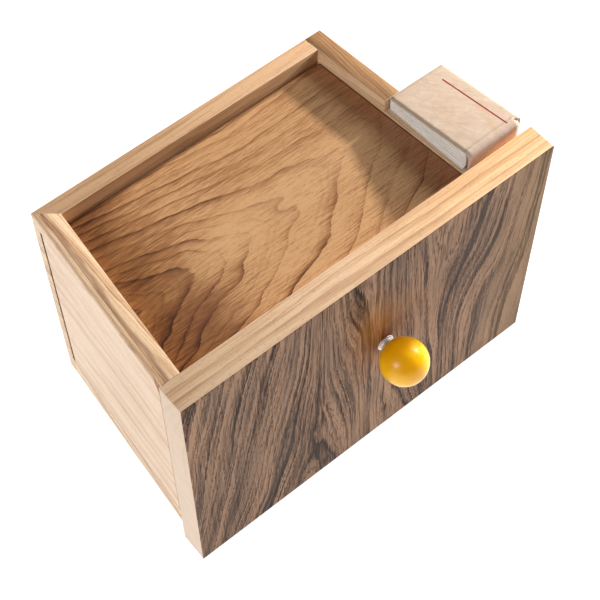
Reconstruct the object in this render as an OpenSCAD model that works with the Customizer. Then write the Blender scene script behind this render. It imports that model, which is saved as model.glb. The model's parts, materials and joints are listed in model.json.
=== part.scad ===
// Wooden puzzle box: a deep box with a shallow tray on top, a hidden
// compartment under a hinged false floor, a side panel that slides up,
// a latch turned by the front knob, and a small booklet in a rim notch.
// Frame: X to the right, Y to the back, Z up. The origin is on the table,
// under the middle of the whole box.

/* [Front panel] */
// Width of the front panel
front_w = 250; // [240:1:270]
// Height of the front panel, which is also the height of the rim
front_h = 183; // [175:1:200]
// Thickness of the front panel with its veneer
front_t = 18; // [16:0.5:20]
// Thickness of the veneers on the front panel and on the false floor
veneer_t = 0.6; // [0.6:0.1:1.5]
// How far the front panel stands past the right wall
overhang = 33; // [31:0.5:36]

/* [Walls] */
// Depth of the box from the front face to the back face
depth = 143; // [140:1:160]
// Angle by which each side wall closes in towards the back
taper = 4.8; // [3.5:0.1:5.5]
// Height of the underside of the walls above the table
lift = 24; // [22:1:28]
// Thickness of the left wall, with the side panel
left_t = 13; // [12.5:0.5:15]
// Thickness of the right wall
right_t = 11; // [10:0.5:13]
// Thickness of the back wall
back_t = 10.5; // [10:0.5:13]

/* [Tray] */
// Depth of the tray below the rim
tray_d = 9.7; // [9:0.1:12]
// Thickness of the false floor with its veneer
floor_t = 6; // [5:0.5:6]
// Gap between the false floor and the walls
floor_gap = 0.8; // [0.7:0.1:1.2]

/* [Side panel] */
// Thickness of the sliding side panel
side_t = 4; // [3.6:0.1:4.4]
// How far the side panel slides up
side_travel = 30; // [24:1:34]
// Height of the rail below the side panel
rail_h = 15; // [13:1:17]
// Length of the slot that the side panel uncovers
slot_l = 56; // [40:2:64]
// Height of that slot
slot_h = 18; // [12:1:22]

/* [Knob] */
// Diameter of the ball
ball_d = 28; // [26:0.5:30]
// Distance of the ball's middle from the front face
ball_y = 16.5; // [16:0.1:18]
// Distance of the knob from the middle of the front panel, to the right
knob_x = 9; // [4:1:12]
// Height of the knob's axis
knob_z = 103.5; // [100:0.5:106]

/* [Booklet] */
// Width of the booklet
book_w = 38.4; // [34:0.2:39]
// Length of the booklet
book_l = 60; // [56:0.5:61]
// Thickness of the booklet at its open end
book_rear = 10; // [9:0.5:12]
// Thickness of the booklet at its spine
book_spine = 17; // [15:0.5:18]
// Angle by which the booklet is turned towards the slant of the right wall
book_turn = 2.5; // [0:0.1:4.8]
// Depth of the notch that it lies in
notch_d = 9; // [8:0.1:9.6]

/* [Hidden] */
$fn = 48;
eps = 1;             // overshoot of a cutting shape past a face
run = 0.05;          // radial running clearance of a shaft

// Planes along Y
knob_reach = ball_y + ball_d / 2;
front_y = -(depth - knob_reach) / 2;   // front face
wall_y = front_y + front_t;            // rear face of the front panel
back_y = front_y + depth;              // back face
back_in = back_y - back_t;             // inner face of the back wall

// Faces of the slanted side walls, as X at a given Y
slope = tan(taper);
function lx(y) = -front_w / 2 + slope * (y - wall_y);
function rx(y) = front_w / 2 - overhang - slope * (y - wall_y);
function li(y) = lx(y) + left_t;
function ri(y) = rx(y) - right_t;
// Outline of the space between the walls, grown by e
function inside(e) = [
    [li(wall_y - e) - e, wall_y - e], [ri(wall_y - e) + e, wall_y - e],
    [ri(back_in + e) + e, back_in + e], [li(back_in + e) - e, back_in + e]
];

// Bottom board in its groove
board_t = 6;
board_z = lift + 6;
groove = 4;
groove_gap = 0.1;

// Rear foot under the bottom board
foot_d = 16;
foot_in = 3;                           // from the back wall
foot_short = 14;                       // how far its ends stay from the side walls
foot_screw_in = 34;                    // the screws' distance from the side walls
foot_head_z = 3;

// Side panel, its tongues and the slot behind it
side_gap = 0.2;
post_y = back_y - 7;                   // front face of the rear post
side_rear_gap = 2.6;
side_z = lift + rail_h;
cap_z = front_h - 8;                   // underside of the cap that runs on over the rear post
tongue_t = 1.4;
tongue_l = 3;
tongue_h = 110;
tongue_gap = 0.3;
tongue_top = side_z + tongue_h + side_travel + tongue_gap;
side_round = 2.2;
side_corner = 8;
slot_z = side_z + 5;
slot_y = 18;                           // middle of the slot
slot_over = 8;                         // how far its cutter runs past the wall

// False floor and its hinge
floor_top = front_h - tray_d;
floor_z = floor_top - floor_t;
hinge_r = floor_t / 2;
hinge_gap = 0.35;
hinge_y = back_in - hinge_r - hinge_gap;
hinge_z = floor_top - hinge_r;
pin_r = 1.5;
pin_in_floor = 8;
pin_in_wall = 5;
ledge = 8;
ledge_rear = hinge_y - 8;

// Latch behind the front panel
stud_r = 2.5;
bush_r = 4;
washer_t = 1;
arm_t = 2.5;
arm_w = 8;
arm_l = 61;
hook_w = 8;
hook_h = 5.5;
nut_t = 4;
arm_y = wall_y + washer_t;
hook_low = knob_z + arm_l - hook_h;    // underside of the hook when it holds the floor
stop_r = 2;
stop_in = 7;                           // depth of its hole in the front panel
stop_gap = 0.1;
stop_left = 34;                        // from the knob's axis
stop_up = 31.5;
keep_x = knob_x + arm_w / 2 + 1.5;
keep_w = 12;
keep_t = 2;
keep_foot = 14;
keep_play = 0.7;
lip_t = 2.5;
lip_front = wall_y + 1.6;
web_y = arm_y + arm_t + 1;
screw_r = 1.5;
head_r = 3;
head_t = 2;
head_sunk = 0.5;

// Ball and neck
ball_c = front_y - ball_y;
ball_flat = 12.7;                      // from the ball's middle to its flat seat
neck_gap = 0.2;
neck_r = 4;
// Steps of the turned neck from the panel to the ball: [radius, length]
neck_steps = [[5.4, 0.9], [4.3, 0.5], [5.0, 0.7], [4.2, 0.4], [4.8, 0.7]];

// Dowels between the front panel and the side walls, and at the rear right corner
dowel_r = 3;
dowel_front = 10;
dowel_wall = 14;
dowel_up = [34, front_h - lift - 40];
dowel_left = 4.2;                      // from the left wall's inner face
dowel_right = right_t / 2 + 0.6;       // from the right wall's outer face
back_dowel_r = 2.5;
back_dowel_l = 12;
back_dowel_up = [30, 70, 110];

// Booklet
book_x = 82.2;                         // left front corner of the booklet
book_rear_y = wall_y + 1.8 + book_l;
book_z = front_h - notch_d;
cover_t = 1.2;
notch_gap = 0.9;
book_low = book_z + 0.05;               // underside of the booklet
shelf_h = 24;
shelf_w = 24;
shelf_screw_up = 3.4;                  // from the shelf's underside
shelf_screw_in = 12;                   // how far a screw reaches into the shelf

// A board of the given outline between two heights
module slab(points, z0, z1) {
    translate([0, 0, z0]) linear_extrude(z1 - z0) polygon(points);
}

// A cylinder along Y from y0 to y1
module along_y(x, z, r, y0, y1) {
    translate([x, y0, z]) rotate([-90, 0, 0]) cylinder(r = r, h = y1 - y0);
}

// A cylinder along X from x0 to x1
module along_x(y, z, r, x0, x1) {
    translate([x0, y, z]) rotate([0, 90, 0]) cylinder(r = r, h = x1 - x0);
}

// What is cut away to round a long edge along Y by r, at the outer top corner
module edge_cut(length, r) {
    difference() {
        translate([-eps, 0, -r]) cube([r + eps, length, r + eps]);
        translate([r, -eps, -r]) rotate([-90, 0, 0]) cylinder(r = r, h = length + 2 * eps);
    }
}

// Space for the bottom board in the walls and the front panel
module bottom_groove() slab(inside(groove + groove_gap), board_z, board_z + board_t);

// A tongue of the side panel, or with a gap the groove that it runs in
module tongue_strip(y0, y1, gap, z0, z1) {
    x_out = side_t - tongue_t - gap;
    x_in = side_t + gap;
    slab([[lx(y0) + x_out, y0], [lx(y1) + x_out, y1], [lx(y1) + x_in, y1], [lx(y0) + x_in, y0]], z0, z1);
}

module dowel_spots() {
    for (up = dowel_up) {
        translate([li(wall_y) - dowel_left, wall_y, lift + up]) children();
        translate([rx(wall_y) - dowel_right, wall_y, lift + up]) children();
    }
}

module front_dowel() {
    translate([0, -dowel_front, 0]) rotate([-90, 0, 0]) cylinder(r = dowel_r, h = dowel_front + dowel_wall);
}

module back_dowel_spots() {
    for (up = back_dowel_up)
        translate([ri(back_y) - back_dowel_l, back_in + back_t / 2, lift + up]) children();
}

module back_dowel() rotate([0, 90, 0]) cylinder(r = back_dowel_r, h = back_dowel_l + 2 * right_t / 3);

// The two hinge pins, or with some clearance the holes that they turn in
module pins(clear) {
    reach = pin_in_wall + clear;
    along_x(hinge_y, hinge_z, pin_r + clear, li(hinge_y) - reach, li(hinge_y) + floor_gap + pin_in_floor);
    along_x(hinge_y, hinge_z, pin_r + clear, ri(hinge_y) - floor_gap - pin_in_floor, ri(hinge_y) + reach);
}

// The arm rests on the left pin at one end of its turn and meets the other at the end
module stop_spots() {
    translate([knob_x - stop_left, 0, knob_z - arm_w / 2 - stop_r - stop_gap]) children();
    translate([knob_x + arm_w / 2 + stop_r + stop_gap, 0, knob_z + stop_up]) children();
}

module front_board() {
    color("#c99a63")
    difference() {
        translate([-front_w / 2, front_y + veneer_t, 0]) cube([front_w, front_t - veneer_t, front_h]);
        along_y(knob_x, knob_z, bush_r, front_y - eps, wall_y + eps);
        bottom_groove();
        tongue_strip(wall_y - tongue_l - tongue_gap, wall_y + eps, tongue_gap, lift, tongue_top);
        dowel_spots() front_dowel();
        stop_spots() along_y(0, 0, stop_r, wall_y - stop_in, wall_y + eps);
    }
}

module front_veneer() {
    color("#7d6553")
    difference() {
        translate([-front_w / 2, front_y, 0]) cube([front_w, veneer_t, front_h]);
        along_y(knob_x, knob_z, bush_r, front_y - eps, wall_y);
    }
}

module left_wall() {
    recess = side_t + side_gap;
    color("#d9b98c")
    difference() {
        slab([[lx(wall_y), wall_y], [lx(back_y), back_y], [li(back_in), back_in], [li(wall_y), wall_y]],
             lift, front_h);
        slab([[lx(wall_y - eps) - eps, wall_y - eps], [lx(post_y) - eps, post_y], [lx(post_y) + recess, post_y],
              [lx(wall_y - eps) + recess, wall_y - eps]], lift - eps, front_h + eps);
        slab([[lx(post_y - eps) - eps, post_y - eps], [lx(back_y) - eps, back_y + eps],
              [lx(back_y) + recess, back_y + eps], [lx(post_y - eps) + recess, post_y - eps]],
             cap_z - side_gap, front_h + eps);
        tongue_strip(post_y - eps, post_y + tongue_l + tongue_gap, tongue_gap, side_z - side_gap, tongue_top);
        slot_cut();
        bottom_groove();
        dowel_spots() front_dowel();
        pins(run);
    }
}

// The slot has round ends
module slot_cut() {
    x0 = lx(slot_y) - slot_over;
    x1 = li(slot_y) + slot_over;
    straight = slot_l - slot_h;
    for (s = [-1, 1])
        along_x(slot_y + s * straight / 2, slot_z + slot_h / 2, slot_h / 2, x0, x1);
    translate([x0, slot_y - straight / 2, slot_z]) cube([x1 - x0, straight, slot_h]);
}

module left_rail() {
    recess = side_t + side_gap;
    color("#d4ae7c")
    slab([[lx(wall_y), wall_y], [lx(post_y), post_y], [lx(post_y) + recess, post_y],
          [lx(wall_y) + recess, wall_y]], lift, side_z);
}

// The panel, with a cap that runs on over the rear post to the mitre
module side_slide() {
    y0 = wall_y + side_gap;
    y1 = post_y - side_rear_gap;
    y2 = back_y - 2 * side_gap;
    mitre = side_t * back_t / left_t;
    color("#e3c9a6")
    difference() {
        union() {
            slab([[lx(y0), y0], [lx(y1), y1], [lx(y1) + side_t, y1], [lx(y0) + side_t, y0]], side_z, front_h);
            slab([[lx(y0), y0], [lx(y2), y2], [lx(y2 - mitre) + side_t, y2 - mitre], [lx(y0) + side_t, y0]],
                 cap_z, front_h);
            tongue_strip(wall_y - tongue_l, wall_y + eps, 0, side_z, side_z + tongue_h);
            tongue_strip(y1 - eps, post_y + tongue_l, 0, side_z, side_z + tongue_h);
        }
        translate([lx(wall_y), wall_y, front_h]) rotate([0, 0, -taper])
            translate([0, -2 * eps, 0]) edge_cut(depth, side_round);
        side_corner_cut(y0);
    }
}

// Rounds the upper front corner of the side panel, seen from the side
module side_corner_cut(y0) {
    x0 = lx(y0) - eps;
    difference() {
        translate([x0, y0 - eps, front_h - side_corner])
            cube([side_t / 2 + eps, side_corner + eps, side_corner + eps]);
        along_x(y0 + side_corner, front_h - side_corner, side_corner, x0 - eps, x0 + side_t);
    }
}

module back_board() {
    color("#d2a873")
    difference() {
        slab([[lx(back_y), back_y], [ri(back_y), back_y], [ri(back_in), back_in], [li(back_in), back_in]],
             lift, front_h);
        bottom_groove();
        back_dowel_spots() back_dowel();
    }
}

module right_wall() {
    color("#d2a873")
    difference() {
        slab([[rx(wall_y), wall_y], [rx(back_y), back_y], [ri(back_y), back_y], [ri(wall_y), wall_y]],
             lift, front_h);
        translate([ri(book_rear_y) - right_t, wall_y - eps, book_z])
            cube([3 * right_t, book_rear_y + notch_gap - wall_y + eps, notch_d + eps]);
        bottom_groove();
        back_dowel_spots() back_dowel();
        dowel_spots() front_dowel();
        pins(run);
        shelf_screw_spots() open_screw();
    }
}

module bottom_board() {
    color("#b98f5e")
    difference() {
        slab(inside(groove), board_z, board_z + board_t);
        foot_screw_spots() foot_screw();
    }
}

module rear_foot() {
    color("#c99a63")
    difference() {
        translate([li(back_in) + foot_short, back_in - foot_d - foot_in, 0])
            cube([ri(back_in) - li(back_in) - 2 * foot_short, foot_d, board_z]);
        foot_screw_spots() foot_screw();
        foot_screw_spots() translate([0, 0, -foot_head_z - eps]) cylinder(r = head_r, h = foot_head_z + eps);
    }
}

module foot_screw_spots() {
    for (x = [li(back_in) + foot_screw_in, ri(back_in) - foot_screw_in])
        translate([x, back_in - foot_in - foot_d / 2, foot_head_z]) children();
}

// A screw pointing up through the foot, its head deep in the underside
module foot_screw() {
    cylinder(r = head_r, h = head_t);
    cylinder(r = screw_r, h = board_z);
}

module foot_screws() {
    color("#c9ccd0") foot_screw_spots() foot_screw();
}

module left_ledge() {
    y0 = wall_y + ledge;
    color("#b98f5e")
    slab([[li(y0), y0], [li(ledge_rear), ledge_rear], [li(ledge_rear) + ledge, ledge_rear],
          [li(y0) + ledge, y0]], floor_z - ledge, floor_z);
}

module right_ledge() {
    y0 = wall_y + ledge;
    color("#b98f5e")
    slab([[ri(y0), y0], [ri(ledge_rear), ledge_rear], [ri(ledge_rear) - ledge, ledge_rear],
          [ri(y0) - ledge, y0]], floor_z - ledge, floor_z);
}

module front_ledges() {
    y1 = wall_y + ledge;
    clear_l = knob_x - stop_left;
    clear_r = keep_x + keep_w + ledge;
    color("#b98f5e") {
        slab([[li(wall_y), wall_y], [clear_l, wall_y], [clear_l, y1], [li(y1), y1]], floor_z - ledge, floor_z);
        slab([[clear_r, wall_y], [ri(wall_y), wall_y], [ri(y1), y1], [clear_r, y1]], floor_z - ledge, floor_z);
    }
}

// Plan outline of the false floor in front of its hinge line
function floor_outline() = [
    [li(wall_y) + floor_gap, wall_y + floor_gap], [ri(wall_y) - floor_gap, wall_y + floor_gap],
    [ri(hinge_y) - floor_gap, hinge_y], [li(hinge_y) + floor_gap, hinge_y]
];

module false_floor() {
    color("#c8a16c")
    difference() {
        union() {
            slab(floor_outline(), floor_z, floor_top - veneer_t);
            intersection() {
                along_x(hinge_y, hinge_z, hinge_r, li(hinge_y) + floor_gap, ri(hinge_y) - floor_gap);
                translate([-front_w, hinge_y, floor_z - eps]) cube([2 * front_w, floor_t, floor_t + 2 * eps]);
            }
        }
        pins(0);
        keeper_screw_spots() keeper_screw();
    }
}

module floor_veneer() {
    color("#b98654") slab(floor_outline(), floor_top - veneer_t, floor_top);
}

module hinge_pins() {
    color("#b9bcc0") pins(0);
}

// Hook-shaped catch under the false floor: foot, web and lip
module keeper() {
    color("#c8a24e")
    difference() {
        union() {
            translate([keep_x, web_y, hook_low - keep_play - lip_t])
                cube([keep_w, keep_t, floor_z - hook_low + keep_play + lip_t]);
            translate([keep_x, lip_front, hook_low - keep_play - lip_t])
                cube([keep_w, web_y - lip_front + keep_t / 2, lip_t]);
            translate([keep_x, web_y, floor_z - keep_t]) cube([keep_w, keep_foot, keep_t]);
        }
        keeper_screw_spots() keeper_screw();
    }
}

module keeper_screw_spots() {
    for (x = [keep_x + keep_w / 4, keep_x + keep_w * 3 / 4])
        translate([x, web_y + keep_foot * 2 / 3, floor_z - keep_t]) children();
}

// A small screw whose head is flush with the keeper's foot
module keeper_screw() {
    translate([0, 0, -1]) cylinder(r = 2, h = 1);
    cylinder(r = 1.2, h = keep_t + 4);
}

module keeper_screws() {
    color("#c9ccd0") keeper_screw_spots() keeper_screw();
}

// The ball is turned about its axis, with a flat seat for the neck and a blind bore
module knob_ball() {
    color("#f2b400")
    translate([knob_x, ball_c, knob_z]) rotate([-90, 0, 0])
        rotate_extrude($fn = 96) difference() {
            intersection() {
                circle(d = ball_d);
                translate([0, -ball_d]) square([ball_d, ball_d + ball_flat]);
            }
            translate([-eps, -2]) square([stud_r + eps, ball_d]);
        }
}

module knob_neck() {
    seat = ball_c + ball_flat;
    color("#d8dade")
    difference() {
        union() {
            neck_ring(0, front_y - neck_gap);
            along_y(knob_x, knob_z, neck_r, seat, front_y - neck_gap);
        }
        along_y(knob_x, knob_z, stud_r, seat - eps, front_y + eps);
    }
}

// Draws step i of the neck from the plane at y, then the rest towards the ball
module neck_ring(i, y) {
    if (i < len(neck_steps)) {
        along_y(knob_x, knob_z, neck_steps[i][0], y - neck_steps[i][1], y);
        neck_ring(i + 1, y - neck_steps[i][1]);
    }
}

module knob_stud() {
    color("#b9bcc0") along_y(knob_x, knob_z, stud_r, ball_c - 2, arm_y + arm_t + nut_t + 1);
}

module knob_bushing() {
    color("#c8a24e")
    difference() {
        along_y(knob_x, knob_z, bush_r, front_y, wall_y);
        along_y(knob_x, knob_z, stud_r + run, front_y - eps, wall_y + eps);
    }
}

module knob_washer() {
    color("#c9ccd0")
    difference() {
        along_y(knob_x, knob_z, 6, wall_y + 0.1, arm_y);
        along_y(knob_x, knob_z, stud_r, wall_y - eps, arm_y + eps);
    }
}

// The arm points to the left at rest; its hook leads when the knob turns it up
module latch_arm() {
    color("#9aa0a6")
    difference() {
        union() {
            along_y(knob_x, knob_z, 7, arm_y, arm_y + arm_t);
            translate([knob_x - arm_l, arm_y, knob_z - arm_w / 2]) {
                cube([arm_l, arm_t, arm_w]);
                cube([hook_h, arm_t, arm_w + hook_w]);
            }
        }
        along_y(knob_x, knob_z, stud_r, arm_y - eps, arm_y + arm_t + eps);
    }
}

module lock_nut() {
    color("#b9bcc0")
    difference() {
        translate([knob_x, arm_y + arm_t, knob_z]) rotate([-90, 0, 0]) cylinder(d = 9.2, h = nut_t, $fn = 6);
        along_y(knob_x, knob_z, stud_r, arm_y, arm_y + arm_t + nut_t + eps);
    }
}

module stop_pins() {
    color("#c8a24e") stop_spots() along_y(0, 0, stop_r, wall_y - stop_in, arm_y + arm_t);
}

module front_dowels() {
    color("#dcc39a") dowel_spots() front_dowel();
}

module back_dowels() {
    color("#dcc39a") back_dowel_spots() back_dowel();
}

module booklet_shelf() {
    y1 = book_rear_y - 4;
    x1 = rx(wall_y) + shelf_w;
    color("#c99a63")
    difference() {
        slab([[rx(wall_y), wall_y], [x1, wall_y], [x1, y1], [rx(y1), y1]], book_z - shelf_h, book_z);
        shelf_screw_spots() shelf_screw();
    }
}

module shelf_screw_spots() {
    for (y = [wall_y + book_l / 4, wall_y + book_l * 3 / 4])
        translate([ri(y) + head_sunk, y, book_z - shelf_h + shelf_screw_up]) children();
}

// A screw pointing to the right, its head let into the wall's inner face
module shelf_screw() {
    rotate([0, 90, 0]) {
        cylinder(r = head_r, h = head_t);
        cylinder(r = screw_r, h = right_t + shelf_screw_in);
    }
}

// Its hole, open to the inner face
module open_screw() {
    shelf_screw();
    translate([-2 * head_sunk, 0, 0]) rotate([0, 90, 0]) cylinder(r = head_r, h = 2 * head_sunk + head_t);
}

module shelf_screws() {
    color("#c9ccd0") shelf_screw_spots() shelf_screw();
}

// Side outline of the booklet, shrunk by e, extruded along X from x0 to x1
module book_wedge(e, x0, x1, y_front, y_rear) {
    slant = (book_spine - book_rear) / book_l;
    top_front = book_spine - e;
    translate([x0, 0, 0]) rotate([90, 0, 90]) linear_extrude(x1 - x0)
        polygon([[y_front, book_low + e],
                 [y_rear, book_low + e],
                 [y_rear, book_low + top_front - slant * (y_rear - book_rear_y + book_l)],
                 [y_front, book_low + top_front - slant * (y_front - book_rear_y + book_l)]]);
}

// Turns the booklet about its left front corner
module booklet_turned() {
    translate([book_x, book_rear_y - book_l, 0]) rotate([0, 0, book_turn])
        translate([-book_x, book_l - book_rear_y, 0]) children();
}

module booklet_cover() {
    y0 = book_rear_y - book_l;
    color("#e6cfb4")
    booklet_turned() difference() {
        book_wedge(0, book_x, book_x + book_w, y0 + cover_t, book_rear_y);
        book_wedge(cover_t, book_x - eps, book_x + book_w - cover_t, y0 - eps, book_rear_y + eps);
    }
}

module booklet_spine() {
    y0 = book_rear_y - book_l;
    color("#d9b49a")
    booklet_turned() book_wedge(0, book_x, book_x + book_w, y0, y0 + cover_t);
}

module booklet_pages() {
    y0 = book_rear_y - book_l;
    color("#f2efe8")
    booklet_turned()
        book_wedge(cover_t, book_x + 0.8, book_x + book_w - cover_t - 2, y0 + cover_t + 1.2, book_rear_y - 0.8);
}

front_board();
front_veneer();
left_wall();
left_rail();
side_slide();
back_board();
right_wall();
bottom_board();
rear_foot();
foot_screws();
left_ledge();
right_ledge();
front_ledges();
false_floor();
floor_veneer();
hinge_pins();
keeper();
keeper_screws();
knob_ball();
knob_neck();
knob_stud();
knob_bushing();
knob_washer();
latch_arm();
lock_nut();
stop_pins();
front_dowels();
back_dowels();
booklet_shelf();
shelf_screws();
booklet_cover();
booklet_spine();
booklet_pages();
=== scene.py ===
"""Looks of the wooden puzzle box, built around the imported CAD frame.

Boards are eased copies of their CAD nodes. The booklet, the ball and its neck
are new pieces, and every surface has a procedural material. Lengths are
millimetres in the frame's own axes, except in the sweep, light and camera
functions, where they are metres. X runs to the right, Y to the back, Z up."""

import json
import math

import bmesh
import bpy
from mathutils import Matrix, Vector

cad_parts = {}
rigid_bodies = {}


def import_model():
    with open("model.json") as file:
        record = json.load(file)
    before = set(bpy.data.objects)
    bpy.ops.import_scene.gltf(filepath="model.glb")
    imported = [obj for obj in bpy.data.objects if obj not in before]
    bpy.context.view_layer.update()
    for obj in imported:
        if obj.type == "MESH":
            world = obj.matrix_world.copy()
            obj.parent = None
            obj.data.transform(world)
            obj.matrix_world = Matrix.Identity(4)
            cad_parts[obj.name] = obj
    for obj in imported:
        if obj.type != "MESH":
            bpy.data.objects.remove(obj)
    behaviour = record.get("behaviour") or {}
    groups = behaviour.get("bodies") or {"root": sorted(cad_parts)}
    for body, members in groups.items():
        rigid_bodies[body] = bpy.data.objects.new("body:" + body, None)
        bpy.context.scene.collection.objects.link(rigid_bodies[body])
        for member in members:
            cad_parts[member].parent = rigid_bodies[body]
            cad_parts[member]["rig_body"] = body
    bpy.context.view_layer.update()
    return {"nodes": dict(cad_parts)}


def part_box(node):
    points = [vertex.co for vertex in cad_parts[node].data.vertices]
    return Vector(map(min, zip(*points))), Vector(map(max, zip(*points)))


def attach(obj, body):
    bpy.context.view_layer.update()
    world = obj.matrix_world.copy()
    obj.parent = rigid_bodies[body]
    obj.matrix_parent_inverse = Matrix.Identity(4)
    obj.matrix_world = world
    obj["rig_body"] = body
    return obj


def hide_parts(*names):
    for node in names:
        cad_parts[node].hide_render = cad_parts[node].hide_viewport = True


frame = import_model()
NODES = frame["nodes"]
MM = 0.001
TAPER = math.radians(4.8)            # each side wall turns inwards by this towards the back
BOOK_TURN = math.radians(2.5)        # the booklet lies turned by this in its notch
GRAIN = {"X": (0, 1, 2), "Y": (1, 0, 2)}    # a grain direction, then the two axes across it


def srgb(r, g, b):
    """A linear colour from 0-255 display values."""
    out = []
    for c in (r, g, b):
        c = c / 255.0
        out.append(c / 12.92 if c <= 0.04045 else ((c + 0.055) / 1.055) ** 2.4)
    return (out[0], out[1], out[2], 1.0)


def tones(*colours):
    """The light, middle and dark colour of a wood, from display values."""
    return [srgb(*c) for c in colours]


def box_mm(node):
    """Lowest and highest corner of a CAD node in millimetres."""
    lo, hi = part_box(node)
    return lo / MM, hi / MM


OAK_FRONT = tones((242, 208, 171), (224, 184, 147), (170, 120, 88))
OAK_LEFT = tones((234, 202, 166), (212, 174, 136), (150, 106, 80))
OAK_BACK = tones((213, 173, 135), (191, 149, 111), (148, 102, 67))
OAK_RIGHT = tones((192, 148, 106), (168, 124, 86), (118, 80, 54))
# Painted light: paler tones for the right wall's inner faces and notch.
OAK_PAINTED_LIGHT = tones((240, 208, 170), (222, 184, 144), (172, 128, 92))
OAK_PANEL = tones((236, 208, 180), (224, 190, 160), (190, 148, 118))
OAK_RAIL = tones((236, 206, 172), (220, 184, 148), (178, 134, 98))
OAK_PLAIN = tones((214, 172, 126), (192, 148, 104), (140, 98, 64))
BEECH = tones((226, 190, 152), (208, 168, 128), (172, 128, 92))


# ---------------------------------------------------------------- materials

class Net:
    """Short calls that build one material's node tree. p is the place in millimetres."""

    def __init__(self, name):
        self.mat = bpy.data.materials.new(name)
        self.mat.use_nodes = True
        self.tree = self.mat.node_tree
        self.tree.nodes.clear()
        out = self.tree.nodes.new("ShaderNodeOutputMaterial")
        self.bsdf = self.tree.nodes.new("ShaderNodeBsdfPrincipled")
        self.tree.links.new(self.bsdf.outputs[0], out.inputs[0])
        coords = self.tree.nodes.new("ShaderNodeTexCoord")
        split = self.tree.nodes.new("ShaderNodeSeparateXYZ")
        self.put(split.inputs[0], coords.outputs["Object"])
        self.p = [self.mul(split.outputs[i], 1.0 / MM) for i in range(3)]

    def put(self, socket, value):
        if isinstance(value, bpy.types.NodeSocket):
            self.tree.links.new(value, socket)
        else:
            socket.default_value = value

    def set(self, **values):
        """Sets shader inputs by name; an underscore stands for a space."""
        for key, value in values.items():
            self.put(self.bsdf.inputs[key.replace("_", " ")], value)

    def math(self, op, a, b=0.0):
        node = self.tree.nodes.new("ShaderNodeMath")
        node.operation = op
        self.put(node.inputs[0], a)
        self.put(node.inputs[1], b)
        return node.outputs[0]

    def add(self, first, *more):
        for value in more:
            first = self.math("ADD", first, value)
        return first

    def sub(self, a, b):
        return self.math("SUBTRACT", a, b)

    def mul(self, first, *more):
        for value in more:
            first = self.math("MULTIPLY", first, value)
        return first

    def absolute(self, value):
        return self.math("ABSOLUTE", value)

    def hypot(self, a, b):
        return self.math("SQRT", self.add(self.mul(a, a), self.mul(b, b)))

    def swing(self, value, amount):
        """How far a 0..1 value is off its middle, times amount."""
        return self.mul(self.sub(value, 0.5), amount)

    def span(self, value, lo, hi, to_lo=0.0, to_hi=1.0, smooth=True):
        """Maps lo..hi to to_lo..to_hi, clamped."""
        node = self.tree.nodes.new("ShaderNodeMapRange")
        node.interpolation_type = "SMOOTHSTEP" if smooth else "LINEAR"
        self.put(node.inputs["Value"], value)
        for key, number in (("From Min", lo), ("From Max", hi), ("To Min", to_lo), ("To Max", to_hi)):
            self.put(node.inputs[key], number)
        return node.outputs["Result"]

    def mix(self, fac, a, b, blend="MIX"):
        node = self.tree.nodes.new("ShaderNodeMix")
        node.data_type = "RGBA"
        node.blend_type = blend
        self.put(node.inputs[0], fac)
        self.put(node.inputs[6], a)
        self.put(node.inputs[7], b)
        return node.outputs[2]

    def ramp(self, fac, stops):
        """A colour ramp: stops are (position, colour)."""
        node = self.tree.nodes.new("ShaderNodeValToRGB")
        cr = node.color_ramp
        while len(cr.elements) < len(stops):
            cr.elements.new(0.5)
        for element, (at, colour) in zip(cr.elements, stops):
            element.position = at
            element.color = colour
        self.put(node.inputs[0], fac)
        return node.outputs[0]

    def curve(self, value, lo, hi, points):
        """A smooth curve through (value, result) points; results lie in -1..1."""
        at = self.span(value, lo, hi, smooth=False)
        node = self.tree.nodes.new("ShaderNodeFloatCurve")
        line = node.mapping.curves[0]
        while len(line.points) < len(points):
            line.points.new(0.5, 0.5)
        for point, (x, y) in zip(line.points, points):
            point.location = ((x - lo) / (hi - lo), 0.5 + y / 2)
        node.mapping.update()
        self.put(node.inputs["Value"], at)
        return self.sub(self.mul(node.outputs[0], 2.0), 1.0)

    def vec(self, x, y, z):
        node = self.tree.nodes.new("ShaderNodeCombineXYZ")
        for i, value in enumerate((x, y, z)):
            self.put(node.inputs[i], value)
        return node.outputs[0]

    def noise(self, vector, scale, detail, rough, distort=0.0):
        node = self.tree.nodes.new("ShaderNodeTexNoise")
        self.put(node.inputs["Vector"], vector)
        self.put(node.inputs["Scale"], scale)
        self.put(node.inputs["Detail"], detail)
        self.put(node.inputs["Roughness"], rough)
        self.put(node.inputs["Distortion"], distort)
        return node.outputs["Fac"]

    def cloud(self, scale, detail=2.0, rough=0.5, distort=0.0):
        """Noise that is alike in all directions."""
        return self.noise(self.vec(*self.p), scale, detail, rough, distort)

    def streaks(self, *axes, detail=2.0, rough=0.5, distort=0.0):
        """Stretched noise. An axis is (place, scale), (place, scale, shift) or one plain value."""
        parts = []
        for axis in axes:
            if isinstance(axis, tuple):
                place, scale, *shift = axis
                axis = self.add(self.mul(place, scale), *shift)
            parts.append(axis)
        return self.noise(self.vec(*parts), 1.0, detail, rough, distort)

    def random(self, value, seed):
        """A random number per whole value."""
        node = self.tree.nodes.new("ShaderNodeTexWhiteNoise")
        node.noise_dimensions = "2D"
        self.put(node.inputs["Vector"], self.vec(value, seed, 0.0))
        return node.outputs["Value"]

    def dent(self, a, b, middle, reach):
        """A smooth hill over two coordinates, 1 at its middle."""
        da = self.mul(self.sub(a, middle[0]), 1.0 / reach[0])
        db = self.mul(self.sub(b, middle[1]), 1.0 / reach[1])
        return self.math("EXPONENT", self.mul(self.add(self.mul(da, da), self.mul(db, db)), -1.0))

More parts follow.
